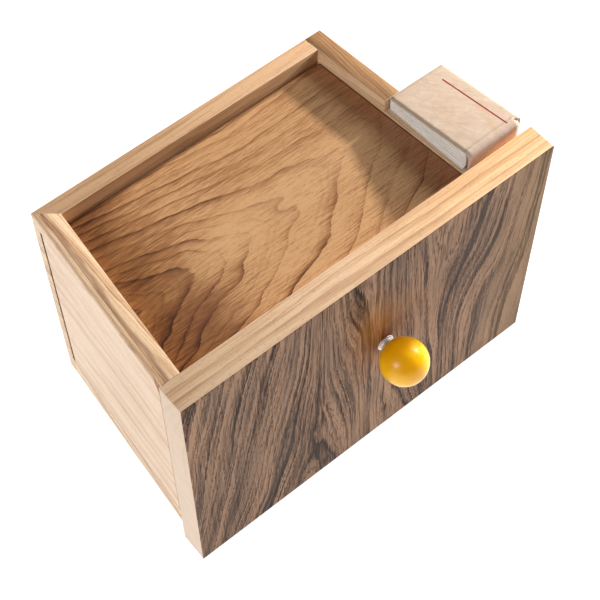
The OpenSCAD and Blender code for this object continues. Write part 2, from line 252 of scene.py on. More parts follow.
    def rings(self, f, seed, sharp):
        """Growth rings: a dark line that builds up slowly and ends at once, of random strength."""
        t = self.math("FRACT", f)
        grown = self.math("POWER", t, sharp)
        edge = self.span(t, 0.97, 1.0, 1.0, 0.0)
        draw = self.random(self.math("FLOOR", f), seed)
        return self.mul(grown, edge, self.span(draw, 0.0, 1.0, 0.25, 1.0, smooth=False))

    def attribute(self, name):
        node = self.tree.nodes.new("ShaderNodeAttribute")
        node.attribute_name = name
        return node.outputs["Fac"]

    def bump(self, height, depth, strength):
        """Relief of the given depth in millimetres."""
        node = self.tree.nodes.new("ShaderNodeBump")
        self.put(node.inputs["Height"], height)
        node.inputs["Distance"].default_value = depth * MM
        node.inputs["Strength"].default_value = strength
        self.put(self.bsdf.inputs["Normal"], node.outputs[0])


def finish_wood(n, colour, fibre, pores, gloss=0.42, wear_and_highlight=srgb(238, 214, 180), wear_and_highlight_amount=0.55):
    """Pale edges that are partly wear and partly a painted highlight, roughness and relief that all woods
    share. gloss is the middle roughness.
    """
    patch = n.span(n.cloud(0.09, 3.0, 0.6), 0.35, 0.6, 0.45, 1.0)
    # The rounded edges turn toward a pale colour: wear, and on the pale woods also a painted highlight.
    worn_and_lit = n.mul(n.attribute("arris"), patch, wear_and_highlight_amount)
    rough = n.span(fibre, 0.2, 0.8, gloss - 0.05, gloss + 0.12, smooth=False)
    n.set(Base_Color=n.mix(worn_and_lit, colour, wear_and_highlight), Roughness=n.add(rough, n.mul(pores, 0.15)))
    n.bump(n.sub(fibre, n.mul(pores, 1.2)), 0.07, 0.45)
    return n.mat


def fibres(n, u, v, w):
    """Fine streaks along the grain u and short open pores."""
    streak = n.streaks((u, 0.03), (v, 1.1), (w, 1.1), detail=4.0, rough=0.6)
    pore_field = n.streaks((u, 0.42), (v, 2.4), (w, 2.4))
    return streak, n.span(pore_field, 0.6, 0.7)


def solid_wood(name, grain, pith, ring, shades, seed, wobble=3.0, contrast=1.0, rubbed_and_lit=0.5,
               warm=None, ends=None, stripe=None, recess=None, seam=None):
    """Wood cut from a log that lies along the grain axis.

    pith is where the log's middle lies across the grain and ring is the width of a year, wobble is how far
    the rings wander, and the rubbing argument is how pale the edges are, from wear and a painted highlight.
    The last five give a board marks of its own; recess and seam are painted shade."""
    n = Net(name)
    u, v, w = (n.p[i] for i in GRAIN[grain])
    light, mid, dark = shades
    drift = n.streaks((u, 0.008), (v, 0.03), (w, 0.03, seed))
    ripple = n.streaks((u, 0.035), (v, 0.1), (w, 0.1, seed))
    feather = n.streaks((u, 0.06), (v, 1.3), (w, 1.3), detail=3.0, rough=0.6)
    radius = n.hypot(n.sub(v, pith[0]), n.sub(w, pith[1]))
    radius = n.add(radius, n.add(n.mul(drift, 4 * wobble), n.mul(ripple, wobble * 0.6)))
    radius = n.add(radius, n.swing(feather, 1.4))
    late = n.rings(n.mul(radius, 1.0 / ring), seed, 2.2)
    narrow = n.rings(n.mul(radius, 3.7 / ring), seed + 3.0, 1.5)
    streak, pores = fibres(n, u, v, w)
    tone = n.streaks((u, 0.012), (v, 0.08), (w, 0.08, seed * 2.0))
    depth = n.add(n.mul(late, 0.8 * contrast), n.mul(narrow, 0.34 * contrast),
                  n.swing(streak, 1.5 * contrast), n.swing(tone, 1.3 * contrast))
    colour = n.ramp(depth, [(0.0, light), (0.32, mid), (0.95, dark)])
    if warm:
        lo, hi, tint = warm
        colour = n.mix(n.mul(n.span(u, lo, hi), 0.6), colour, tint, "MULTIPLY")
    colour = n.mix(n.mul(pores, 0.45), colour, dark)
    if ends:
        far, tint = ends
        end = n.span(n.absolute(u), far - 0.6, far - 0.2)
        colour = n.mix(n.mul(end, 0.72), colour, tint)
    if stripe:
        sway = n.add(n.swing(ripple, 7.0), n.swing(feather, 2.5))
        colour = n.mix(stripe_mask(n, sway, *stripe), colour, srgb(140, 92, 70))
    if recess:
        # Painted shade in the recess behind the side panel.
        colour = n.mix(recess_shade_mask(n, *recess), colour, srgb(58, 32, 16))
    if seam:
        # Painted shade: a brown shadow line along the seam where the side panel sits on the rail.
        level, reach = seam
        seam_shade = n.span(n.absolute(n.sub(n.p[2], level)), reach - 0.25, reach, 0.85, 0.0)
        colour = n.mix(seam_shade, colour, srgb(150, 100, 62))
    return finish_wood(n, colour, streak, pores, wear_and_highlight=srgb(255, 218, 186), wear_and_highlight_amount=rubbed_and_lit)


def stripe_mask(n, sway, corner, inward, top):
    """A wavy dark band of figure on the left wall's top, which runs inward of its outer face."""
    x, y, z = n.p
    line = n.add(n.mul(n.sub(y, corner.y), math.tan(TAPER)), corner.x + inward, sway)
    off = n.absolute(n.sub(x, line))
    return n.mul(n.span(off, 0.3, 2.6, 0.62, 0.0), n.span(z, top - 3.0, top - 2.5))


def recess_shade_mask(n, corner, deep, y_end, top):
    """1 inside the recess behind the side panel, where shade is painted."""
    x, y, z = n.p
    d = n.sub(n.sub(x, n.mul(n.sub(y, corner.y), math.tan(TAPER))), corner.x)
    walls = n.mul(n.span(d, 0.2, 0.7), n.span(d, deep + 0.2, deep + 0.5, 1.0, 0.0))
    walls = n.mul(walls, n.span(y, y_end + 0.1, y_end + 0.3, 1.0, 0.0))
    return n.mul(walls, n.span(z, top - 0.6, top - 0.2, 1.0, 0.0), 0.94)


def off_crown(n, x, y):
    """How far a place on the floor lies from the line that the arches' tops follow."""
    rise = n.mul(n.math("MAXIMUM", x, 0.0), 0.26)
    return n.sub(n.sub(y, 8.0), rise)


def floor_figure(n, x, y):
    """Cathedral figure of the flat-cut floor veneer: nested arches that open to the left."""
    off = off_crown(n, x, y)
    up = n.math("MAXIMUM", off, 0.0)
    down = n.math("MAXIMUM", n.mul(off, -1.0), 0.0)
    shift = n.add(n.mul(up, 0.75), n.mul(n.mul(up, up), 0.05))
    shift = n.add(shift, n.add(down, n.mul(n.mul(down, down), 0.02)))
    broad_warp = n.swing(n.streaks((x, 0.022), (y, 0.035), 2.3, rough=0.45), 34.0)
    small_warp = n.swing(n.streaks((x, 0.06), (y, 0.11), 7.7), 12.0)
    f = n.add(n.add(x, shift), n.add(broad_warp, small_warp))
    return n.add(f, n.mul(n.dent(x, y, (-9.0, 10.5), (11.0, 5.0)), 15.0))


def floor_line_strength(n, x, y):
    """The late-wood lines are strong at the left, bundled at the rear left and faint in some places."""
    bundle = n.mul(n.dent(x, y, (-100.0, 58.0), (34.0, 22.0)), 0.9)
    force = n.add(n.span(x, -100.0, 60.0, 1.5, 0.6), bundle)
    crown = n.span(n.absolute(off_crown(n, x, y)), 9.0, 32.0, 1.0, 0.0)
    open_end = n.mul(n.span(x, 8.0, 34.0), crown)
    force = n.mul(force, n.sub(1.0, n.mul(open_end, 0.9)))
    patchy = n.streaks((x, 0.018), (y, 0.05), 9.0)
    force = n.mul(force, n.span(patchy, 0.38, 0.62, 0.35, 1.25))
    force = n.mul(force, n.sub(1.0, n.dent(x, y, (-101.0, 9.0), (12.0, 9.0))))
    return n.mul(force, n.sub(1.0, n.mul(n.dent(x, y, (15.0, 58.0), (60.0, 34.0)), 0.5)))


def floor_tints_and_painted_shade(n, x, y, colour):
    """A brown smudge, painted shade that darkens the left end toward golden brown, a red-brown painted
    shadow tone at the right end, and two paler places where the arches close.
    """
    smudge = n.mul(n.dent(x, y, (-78.0, -15.0), (16.0, 20.0)), 0.45)
    colour = n.mix(smudge, colour, srgb(112, 70, 50))
    # Painted shade: the left end is darkened and turned golden.
    colour = n.mix(n.span(x, -112.0, -55.0, 0.6, 0.0), colour, srgb(205, 192, 138), "MULTIPLY")
    # Painted shadow: the right end, where the right wall's shadow falls, is turned red-brown.
    colour = n.mix(n.span(x, 52.0, 72.0, 0.0, 0.45), colour, srgb(164, 90, 56))
    pale = n.add(n.mul(n.dent(x, y, (-46.0, 12.0), (22.0, 12.0)), 0.18),
                 n.mul(n.dent(x, y, (12.0, 16.0), (34.0, 14.0)), 0.3))
    return n.mix(pale, colour, srgb(222, 180, 138))


def floor_veneer_wood():
    """Honey brown flat-cut veneer with thin dark late-wood lines."""
    n = Net("floor_veneer_wood")
    x, y, z = n.p
    feather = n.streaks((x, 0.05), (y, 1.2), 3.0, detail=3.0, rough=0.65)
    f = n.add(n.sub(floor_figure(n, x, y), 5.0), n.swing(feather, 2.6))
    strong = n.rings(n.mul(f, 1 / 36.0), 4.0, 7.0)
    broad = n.rings(n.mul(f, 1 / 36.0), 4.0, 2.5)
    half = n.mul(n.rings(n.mul(f, 1 / 18.0), 9.0, 9.0), n.span(f, -60.0, 20.0, 1.0, 0.3))
    fine = n.rings(n.mul(f, 1 / 6.5), 2.0, 2.0)
    lines = n.mul(n.add(n.mul(strong, 0.6), n.mul(half, 0.5)), floor_line_strength(n, x, y))
    streak, pores = fibres(n, x, y, z)
    ticks = n.streaks((x, 0.09), (y, 2.0), 5.0, detail=4.0, rough=0.7)
    tone = n.streaks((x, 0.02), (y, 0.035), 1.0)
    # Painted shade: darker at the left end beside the left wall, and at the right end in the right wall's
    # shadow.
    painted_shade_ends = n.add(n.span(x, -112.0, -30.0, 0.45, 0.0), n.span(x, 48.0, 80.0, 0.0, 0.24))
    depth = n.add(lines, n.mul(broad, 0.26), n.mul(fine, 0.12), n.swing(streak, 0.8),
                  n.swing(ticks, 1.6), n.swing(tone, 0.55), painted_shade_ends)
    colour = n.ramp(depth, [(0.0, srgb(206, 160, 114)), (0.3, srgb(165, 116, 76)),
                            (0.62, srgb(122, 78, 50)), (1.0, srgb(68, 40, 27))])
    colour = floor_tints_and_painted_shade(n, x, y, colour)
    colour = n.mix(n.mul(pores, 0.42), colour, srgb(96, 58, 34))
    return finish_wood(n, colour, streak, pores, wear_and_highlight_amount=0.0)


def front_figure(n, x, z):
    """Vertical grain that leans at the left, opens into flames in the middle and bows at the right."""
    lean = n.curve(x, -130.0, 130.0, [(-130, 0.18), (-75, 0.25), (-48, 0.14), (-22, -0.12), (4, -0.04),
                                      (36, -0.2), (62, 0.04), (92, 0.14), (130, 0.02)])
    f = n.sub(x, n.mul(lean, n.sub(z, 92.0)))
    f = n.add(f, n.mul(n.dent(x, z, (72.0, 62.0), (40.0, 58.0)), 13.0))
    broad_warp = n.swing(n.streaks((x, 0.018), (z, 0.007), 3.1), 20.0)
    small_warp = n.swing(n.streaks((x, 0.06), (z, 0.016), 8.4), 5.0)
    return n.add(f, n.add(broad_warp, small_warp))


def walnut_depth(n, f, ticks):
    """How dark the walnut is: rings, bands and streaks along the figure f, and two flames of heartwood."""
    x, _, z = n.p
    broad = n.rings(n.mul(f, 1 / 17.0), 3.0, 2.2)
    lines = n.rings(n.mul(f, 1 / 5.2), 6.0, 3.0)
    fine = n.rings(n.mul(f, 1 / 1.9), 8.0, 3.0)
    band = n.streaks((f, 0.05), (z, 0.006), 0.4, detail=3.0, rough=0.6)
    streak = n.streaks((f, 0.55), (z, 0.012), 1.5, detail=4.0, rough=0.65)
    thin = n.streaks((f, 1.6), (z, 0.02), 4.5, detail=3.0, rough=0.65)
    straight = n.streaks((x, 0.9), (z, 0.008), 12.0, detail=4.0, rough=0.7)
    heart = n.add(n.mul(n.dent(x, z, (-52.0, 92.0), (10.0, 26.0)), 0.22),
                  n.mul(n.dent(x, z, (-16.0, 84.0), (9.0, 30.0)), 0.2))
    return n.add(n.mul(broad, 0.6), n.mul(lines, 0.75), n.swing(straight, 1.4), n.mul(fine, 0.42),
                 n.swing(band, 1.3), n.swing(streak, 1.5), n.swing(thin, 1.7), n.swing(ticks, 0.8), heart)


def painted_ball_glow(n, x, z):
    """Painted yellow light bounced from the ball onto the veneer, mostly above the knob."""
    knob_x, knob_z = knob_axis()
    wide = n.dent(x, z, (knob_x - 9.0, knob_z + 20.0), (15.0, 30.0))
    close = n.dent(x, z, (knob_x + 6.0, knob_z + 16.0), (16.0, 22.0))
    return n.add(n.mul(wide, 0.36), n.mul(close, 0.22))


def walnut():
    """Grey-brown walnut veneer with dark vertical streaks, and a painted yellow glow of light bounced from
    the ball above the knob.
    """
    n = Net("walnut_veneer_wood")
    x, y, z = n.p
    feather = n.streaks((x, 1.1), (z, 0.03), 2.0, detail=3.0, rough=0.6)
    f = n.add(front_figure(n, x, z), n.swing(feather, 3.2))
    ticks = n.streaks((x, 1.5), (z, 0.09), (y, 1.5), detail=3.0, rough=0.65)
    pores = n.span(n.streaks((x, 2.6), (z, 0.14), (y, 2.6)), 0.6, 0.7)
    colour = n.ramp(walnut_depth(n, f, ticks), [(0.0, srgb(187, 148, 118)), (0.3, srgb(147, 112, 88)),
                                                (0.62, srgb(82, 58, 45)), (1.0, srgb(32, 22, 18))])
    grey = n.span(n.streaks((f, 0.09), (z, 0.01), 6.0), 0.4, 0.65, 0.0, 0.4)
    colour = n.mix(grey, colour, srgb(100, 84, 74))
    colour = n.mix(n.mul(n.span(x, 70.0, 125.0), 0.35), colour, srgb(166, 132, 92))
    colour = n.mix(n.mul(pores, 0.35), colour, srgb(58, 44, 38))
    # Painted light: the ball's yellow bounce light on the veneer.
    colour = n.mix(painted_ball_glow(n, x, z), colour, srgb(206, 132, 44))
    n.set(Specular_IOR_Level=0.08)
    return finish_wood(n, colour, ticks, pores, 0.5, wear_and_highlight=srgb(112, 82, 56), wear_and_highlight_amount=0.5)


def plywood(name, top, seed):
    """Birch plywood: plies stacked below top whose grain turns from ply to ply."""
    n = Net(name)
    x, y, z = n.p
    ply = n.mul(n.sub(z, top), 1 / 1.3)
    cross = n.math("FLOOR", n.mul(n.math("FRACT", n.mul(ply, 0.5)), 2.0))
    along = n.streaks((x, 0.05), (y, 0.9), n.add(n.math("FLOOR", ply), seed), detail=3.0, rough=0.6)
    glue = n.span(n.absolute(n.sub(n.math("FRACT", ply), 0.5)), 0.4, 0.5)
    depth = n.add(n.mul(along, 0.7), n.mul(cross, 0.28), n.swing(n.cloud(0.03), 0.5))
    colour = n.ramp(depth, [(0.15, srgb(226, 197, 153)), (0.55, srgb(206, 170, 122)),
                            (0.95, srgb(168, 126, 82))])
    colour = n.mix(n.mul(glue, 0.35), colour, srgb(120, 84, 52))
    pores = n.span(n.streaks((x, 0.2), (y, 2.2), (z, 2.2)), 0.62, 0.74)
    return finish_wood(n, colour, along, pores, 0.55)


def metal(name, colour, rough, scratch=0.25, spin=None):
    """Metal with fine tool lines and slight staining; spin is the axis on which it was turned."""
    n = Net(name)
    x, y, z = n.p
    stain = n.cloud(0.35, 4.0, 0.6)
    if spin:
        r = n.hypot(n.sub(x, spin[0]), n.sub(z, spin[1]))
        lines = n.streaks((r, 9.0), (y, 9.0), 0.0)
    else:
        lines = n.streaks((x, 2.0), (y, 7.0), (z, 7.0), detail=3.0)
    dull = tuple(c * 0.72 for c in colour[:3]) + (1.0,)
    n.set(Metallic=1.0, Base_Color=n.mix(n.span(stain, 0.4, 0.75, 0.0, 0.6), colour, dull),
          Roughness=n.add(n.span(stain, 0.2, 0.8, rough, rough + 0.12), n.mul(lines, 0.08)))
    n.bump(lines, 0.03, scratch)
    return n.mat


def lacquer():
    """Thick yellow lacquer on a turned ball, with faint runs and specks."""
    n = Net("yellow_lacquer_coat")
    runs = n.cloud(0.12, 3.0, 0.6)
    speck = n.span(n.cloud(1.9), 0.68, 0.76)
    colour = n.ramp(runs, [(0.3, srgb(255, 190, 0)), (0.7, srgb(250, 178, 0))])
    colour = n.mix(n.mul(speck, 0.18), colour, srgb(222, 138, 4))
    n.set(Base_Color=colour, Roughness=n.span(runs, 0.3, 0.7, 0.27, 0.34))
    n.set(Coat_Weight=0.38, Coat_Roughness=0.26, Specular_IOR_Level=0.32)
    n.set(Subsurface_Weight=0.75, Subsurface_Scale=0.02, Subsurface_Radius=(1.0, 0.7, 0.1))
    n.bump(n.cloud(0.5), 0.1, 0.25)
    return n.mat


def red_rule(n):
    """A thin rule, broken by the paper's grain, printed along the right side of the booklet's top."""
    x, y, z = n.p
    lo, hi = box_mm("booklet_cover")
    off = n.absolute(n.add(n.sub(x, hi.x - 9.2), n.mul(y, 0.059)))
    along = n.absolute(n.sub(y, (lo.y + hi.y) / 2 - 2.56))
    rule = n.mul(n.span(off, 0.42, 0.58, 1.0, 0.0), n.span(along, 23.7, 24.0, 1.0, 0.0))
    top = box_mm("booklet_spine")[1].z
    rule = n.mul(rule, n.span(z, top - 9.0, top - 8.5))
    return n.mul(rule, n.span(n.cloud(2.2), 0.25, 0.5, 0.75, 1.0))


def cover_paper():
    """Cream cover board, softly wrinkled and stained; its spine strip is pinker."""
    n = Net("cover_paper")
    x, y, z = n.p
    corner = box_mm("booklet_spine")[0]
    mottle = n.cloud(0.16, 5.0, 0.65, 0.6)
    across = n.add(n.mul(x, 0.8), n.mul(y, 0.6))
    wrinkle = n.streaks((across, 0.16), (n.sub(y, x), 0.035), 3.0, detail=3.0, distort=0.3)
    paper = n.ramp(mottle, [(0.3, srgb(216, 194, 174)), (0.7, srgb(200, 174, 151))])
    behind = n.sub(y, n.mul(n.sub(x, corner.x), math.tan(BOOK_TURN)))
    spine = n.span(behind, corner.y + 0.8, corner.y + 4.0, 1.0, 0.0)
    paper = n.mix(n.mul(spine, 0.65), paper, srgb(214, 186, 176))
    stain = n.noise(n.vec(n.mul(x, 1.4), n.mul(y, 0.7), z), 0.075, 3.0, 0.6)
    paper = n.mix(n.mul(n.span(stain, 0.56, 0.72), 0.4), paper, srgb(204, 164, 124))
    paper = n.mix(n.mul(n.span(wrinkle, 0.6, 0.75), 0.25), paper, srgb(196, 156, 124))
    paper = n.mix(n.mul(n.span(n.cloud(1.3), 0.7, 0.76), 0.4), paper, srgb(150, 112, 92))
    n.set(Base_Color=n.mix(red_rule(n), paper, srgb(140, 26, 26)))
    n.set(Roughness=n.span(mottle, 0.3, 0.7, 0.62, 0.8))
    n.bump(n.add(n.mul(mottle, 0.5), n.mul(wrinkle, 1.6)), 0.4, 0.6)
    return n.mat


def page_paper():
    """White paper with faintly grey and creamy leaves."""
    n = Net("page_paper")
    x, y, z = n.p
    leaf_tone = n.streaks((x, 0.02), (y, 0.03), (z, 3.0), detail=3.0, rough=0.7)
    colour = n.ramp(leaf_tone, [(0.3, srgb(240, 236, 230)), (0.5, srgb(250, 248, 244)),
                                (0.7, srgb(255, 254, 252))])
    colour = n.mix(n.span(n.cloud(0.08, 3.0), 0.45, 0.75, 0.0, 0.2), colour, srgb(236, 224, 206))
    n.set(Base_Color=colour, Roughness=0.85)
    n.bump(leaf_tone, 0.05, 0.25)
    return n.mat


# ------------------------------------------------------------------- pieces

def add_object(name, bm, mat, body, node):
    """Makes a piece from a bmesh and hangs it on its body; it stands for the given CAD node."""
    bmesh.ops.recalc_face_normals(bm, faces=bm.faces)
    mesh = bpy.data.meshes.new(name)
    bm.to_mesh(mesh)
    bm.free()
    if "custom_normal" in mesh.attributes:
        mesh.attributes.remove(mesh.attributes["custom_normal"])
    ob = bpy.data.objects.new(name, mesh)
    bpy.context.scene.collection.objects.link(ob)
    mesh.materials.append(mat)
    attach(ob, body)
    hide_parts(node)
    return ob


def on_hull(bm, slack=0.03):
    """A test that says whether a point lies on the mesh's convex hull."""
    copy = bm.copy()
    hull = bmesh.ops.convex_hull(copy, input=copy.verts)["geom"]
    planes = [(f.normal.copy(), f.verts[0].co.copy()) for f in hull if isinstance(f, bmesh.types.BMFace)]
    middle = sum((v.co for v in copy.verts), Vector()) / len(copy.verts)
    planes = [(n if n.dot(middle - p) < 0 else -n, p) for n, p in planes]
    copy.free()
    return lambda co: max(n.dot(co - p) for n, p in planes) > -slack * MM


def outer_edges(bm, shortest=6.0, sharpest=35.0):
    """Long convex edges on the outside of a board, where its faces turn by more than sharpest degrees."""
    outer = on_hull(bm)
    edges = [e for e in bm.edges if len(e.link_faces) == 2 and e.calc_length() >= shortest * MM]
    edges = [e for e in edges if e.calc_face_angle() > math.radians(sharpest) and e.is_convex]
    return [e for e in edges if outer((e.verts[0].co + e.verts[1].co) / 2)]


def eased(node, mat, width, segments=2, slim=0.0):
    """A board with its outer edges rounded over; it stands for its CAD node.

    slim takes that much off both ends along X, so that a moving board stays clear of the walls."""
    bm = bmesh.new()
    bm.from_mesh(NODES[node].data)
    arris = bm.faces.layers.float.new("arris")
    bmesh.ops.remove_doubles(bm, verts=bm.verts, dist=0.002 * MM)
    bmesh.ops.dissolve_limit(bm, angle_limit=math.radians(0.6), verts=bm.verts, edges=bm.edges)
    middle = sum(v.co.x for v in bm.verts) / len(bm.verts)
    for v in bm.verts:
        v.co.x += math.copysign(slim * MM, middle - v.co.x)
    made = bmesh.ops.bevel(bm, geom=outer_edges(bm), offset=width * MM, offset_type="OFFSET",
                           segments=segments, profile=0.5, affect="EDGES", clamp_overlap=True)
    for f in made["faces"]:
        f[arris] = 1.0
        f.smooth = True
    board = add_object(node + "_eased", bm, mat, NODES[node]["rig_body"], node)
    board.data.set_sharp_from_angle(angle=math.radians(24))
    return board


def lathe(profile, axis, sides):
    """A turned shape about an axis along Y; profile is [(radius, y)] and axis is (x, z)."""
    bm = bmesh.new()
    loops = []
    for r, y in profile:
        ring = []
        for i in range(sides if r > 0.0 else 1):
            a = 2 * math.pi * i / sides
            x, z = axis[0] + r * math.cos(a), axis[1] + r * math.sin(a)
            ring.append(bm.verts.new((x * MM, y * MM, z * MM)))
        loops.append(ring)
    for a, b in zip(loops, loops[1:]):
        for i in range(sides):
            j = (i + 1) % sides
            corners = [a[i % len(a)], a[j % len(a)], b[j % len(b)], b[i % len(b)]]
            bm.faces.new(list(dict.fromkeys(corners))).smooth = True
    return bm


def knob_axis():
    """Where the knob's axis meets the front, as x and z."""
    lo, hi = box_mm("knob_ball")
    return (lo.x + hi.x) / 2, (lo.z + hi.z) / 2


def ball_profile(bore=2.5, depth=2.0, steps=60):
    """Half the section of the ball: round in front, cut flat at its seat, bored for the stud."""
    lo, hi = box_mm("knob_ball")
    radius = (hi.x - lo.x) / 2
    cy = lo.y + radius
    seat = hi.y
    end = math.acos((cy - seat) / radius)
    profile = [(0.0, lo.y)]
    for i in range(1, steps + 1):
        a = end * i / steps
        profile.append((radius * math.sin(a), cy - radius * math.cos(a)))
    rim = profile[-1][0]
    return profile + [(rim - 0.25, seat + 0.12), (bore, seat + 0.12), (bore, cy - depth), (0.0, cy - depth)]


def neck_profile(bore=2.5, groove=3.95, rib=1.05, pitch=1.2):
    """Half the section of the neck: round ribs behind the ball and a flange against the front."""
    lo, hi = box_mm("knob_neck")
    flange = (hi.x - lo.x) / 2
    front_y, back_y = lo.y, hi.y
    profile = [(bore, front_y), (3.6, front_y), (4.0, front_y + 0.25)]
    y = front_y + 0.3
    while y + pitch < back_y - 1.1:
        for i in range(7):
            bulge = math.sin(math.pi * i / 6) ** 0.8
            profile.append((groove + rib * bulge, y + pitch * i / 6))
        y += pitch
    profile += [(4.2, back_y - 1.2), (4.35, back_y - 1.05), (flange - 0.25, back_y - 1.0)]
    profile += [(flange, back_y - 0.8), (flange, back_y - 0.2), (flange - 0.2, back_y), (bore, back_y)]
    return profile + [profile[0]]


def knob(ball_mat, neck_mat):
    """The lacquered ball with its flat seat, and the ribbed chrome neck."""
    ball = lathe(ball_profile(), knob_axis(), 112)
    add_object("ball", ball, ball_mat, "knob", "knob_ball")
    neck = lathe(neck_profile(), knob_axis(), 72)
    add_object("neck", neck, neck_mat, "knob", "knob_neck")


# ------------------------------------------------------------------ booklet

PAPER = 0.9              # thickness of the cover board
WEDGE_DROP = 7.0         # the booklet is this much thinner at the rear
SAG = 3.6                # a well-read booklet has sunk by this at its free right side
FOLD_ROUND = 4.2         # radius of the spine's round at the top; the boards begin this far behind it


def sag(x, x0, x1):
    """How far the booklet has sunk at x."""
    return SAG * ((x - x0) / (x1 - x0)) ** 1.5


def booklet_corner():
    """The booklet's front left corner, about which it is turned."""
    return min((v.co / MM for v in NODES["booklet_spine"].data.vertices), key=lambda p: p.y)


def booklet_box(node):
    """A booklet node's box in the booklet's own axes."""
    corner = booklet_corner()
    back = Matrix.Rotation(-BOOK_TURN, 3, "Z")
    points = [back @ (v.co / MM - corner) + corner for v in NODES[node].data.vertices]
    lo = Vector([min(p[i] for p in points) for i in range(3)])
    hi = Vector([max(p[i] for p in points) for i in range(3)])
    return lo, hi


def turn_booklet(bm):
    """Turns a finished part of the booklet to where it lies."""
    turn = Matrix.Rotation(BOOK_TURN, 3, "Z")
    bmesh.ops.rotate(bm, cent=booklet_corner() * MM, matrix=turn, verts=bm.verts)


class Wedge:
    """The closed booklet's outline in its own axes; its cover stands a little past the CAD one."""

    def __init__(self):
        cover_lo, cover_hi = booklet_box("booklet_cover")
        spine_lo, spine_hi = booklet_box("booklet_spine")
        self.x0, self.x1 = cover_lo.x - 0.9, cover_hi.x + 2.0
        self.y0, self.y1 = spine_lo.y, cover_hi.y + 0.4
        self.z0, self.z_front = spine_lo.z, spine_hi.z
        self.slope = WEDGE_DROP / (self.y1 - self.y0)

    def top(self, y):
        return self.z_front - self.slope * (y - self.y0)

    def sag(self, x):
        return sag(x, self.x0, self.x1)


def arc(cy, cz, r, a0, a1, steps):
    """Points of an arc in the YZ plane, angles in degrees from +Y."""
    out = []
    for i in range(steps + 1):
        a = math.radians(a0 + (a1 - a0) * i / steps)
        out.append((cy + r * math.cos(a), cz + r * math.sin(a)))
    return out


def close_tube(bm, loops, smooth):
    """Skins a row of equal loops and closes both ends."""
    count = len(loops[0])
    for a, b in zip(loops, loops[1:]):
        for i in range(count):
            j = (i + 1) % count
            bm.faces.new((a[i], a[j], b[j], b[i])).smooth = smooth
    bm.faces.new(loops[0])
    bm.faces.new(list(reversed(loops[-1])))


def spine_path(wedge, inset):
    """The spine seen from the side: a round fold from the top board down to the foot."""
    r_top, r_low = FOLD_ROUND, 1.8
    tilt = math.atan(wedge.slope)
    cz = wedge.top(wedge.y0 + r_top) - r_top / math.cos(tilt)
    bend = arc(wedge.y0 + r_top, cz, r_top - inset, 90 - math.degrees(tilt), 180, 12)
    foot = arc(wedge.y0 + r_low, wedge.z0 + r_low, r_low - inset, 180, 270, 6)
    return bend + foot + [(wedge.y0 + 5.0, wedge.z0 + inset)]


def booklet_spine(wedge, stations=15):
    """The folded spine, which sinks with the boards and ends short of the flap at the right."""
    outline = spine_path(wedge, 0.0) + list(reversed(spine_path(wedge, PAPER)))
    end = wedge.x1 - 2.9
    xs = [wedge.x0 + (end - wedge.x0) * i / (stations - 1) for i in range(stations)]
    bm = bmesh.new()
    loops = [[bm.verts.new((x * MM, y * MM, z * MM)) for y, z in outline] for x in xs]
    close_tube(bm, loops, smooth=True)
    for v in bm.verts:
        share = (v.co.z / MM - wedge.z0) / (wedge.z_front - wedge.z0)
        v.co.z -= wedge.sag(v.co.x / MM) * max(share, 0.0) * MM
    return bm


def cover_section(wedge, inset):
    """The cover seen from the front: (x, edge it hangs on, distance from that edge), open to the left."""
    r_top, r_low = 2.4, 1.2
    top_mid, low_mid = wedge.x1 - r_top, wedge.x1 - r_low
    points = [(wedge.x0 + (top_mid - wedge.x0) * i / 14, "top", inset) for i in range(15)]
    for i in range(1, 8):
        a = math.radians(90 * i / 7)
        r = r_top - inset
        points.append((top_mid + r * math.sin(a), "top", r_top - r * math.cos(a)))
    for i in range(7):
        a = math.radians(90 * i / 6)
        r = r_low - inset
        points.append((low_mid + r * math.cos(a), "low", r_low - r * math.sin(a)))
    return points + [(wedge.x0, "low", inset)]


def cover_skin(bm, wedge, inset, rows=18):
    """One side of the cover sheet, as columns of vertices that run from the spine to the rear."""
    grid = []
    for x, edge, off in cover_section(wedge, inset):
        start = wedge.y0 + (2.2 if x > wedge.x1 - 3.0 else FOLD_ROUND)
        column = []
        for k in range(rows + 1):
            y = start + (wedge.y1 - start) * k / rows
            z = wedge.top(y) - off - wedge.sag(x) if edge == "top" else wedge.z0 + off
            column.append(bm.verts.new((x * MM, y * MM, z * MM)))
        grid.append(column)
    return grid


def cover_sheet(wedge):
    """Top board, right flap and bottom board as one folded sheet that follows the wedge."""
    bm = bmesh.new()
    quilt(bm, cover_skin(bm, wedge, 0.0), cover_skin(bm, wedge, PAPER))
    return bm


def quilt(bm, outer, inner):
    """Joins two equal grids of vertices into one closed sheet."""
    last_i, last_k = len(outer) - 1, len(outer[0]) - 1
    for i in range(last_i):
        for k in range(last_k):
            for g in (outer, inner):
                bm.faces.new((g[i][k], g[i + 1][k], g[i + 1][k + 1], g[i][k + 1])).smooth = True
        for k in (0, last_k):
            bm.faces.new((outer[i][k], outer[i + 1][k], inner[i + 1][k], inner[i][k]))
    for k in range(last_k):
        for i in (0, last_i):
            bm.faces.new((outer[i][k], outer[i][k + 1], inner[i][k + 1], inner[i][k]))


def page_block(wedge, count=22, filled=0.97):
    """Separate leaves that fill the cover, none quite flush with the next."""
    lo, hi = booklet_box("booklet_pages")
    leaves = bmesh.new()
    for i in range(count):
        share = (i / count, (i + filled) / count)
        wobble = math.sin(i * 2.4) * 0.16 + math.sin(i * 5.1) * 0.08
        head = wedge.y0 + 2.6 + 1.6 * (2 * share[0] - 1) ** 2
        tail = wedge.y1 - 0.25 + math.sin(i * 3.3) * 0.12
        leaf(leaves, wedge, (lo.x - 1.3 + wobble, hi.x + wobble * 0.6), (head, tail), share)
    return leaves


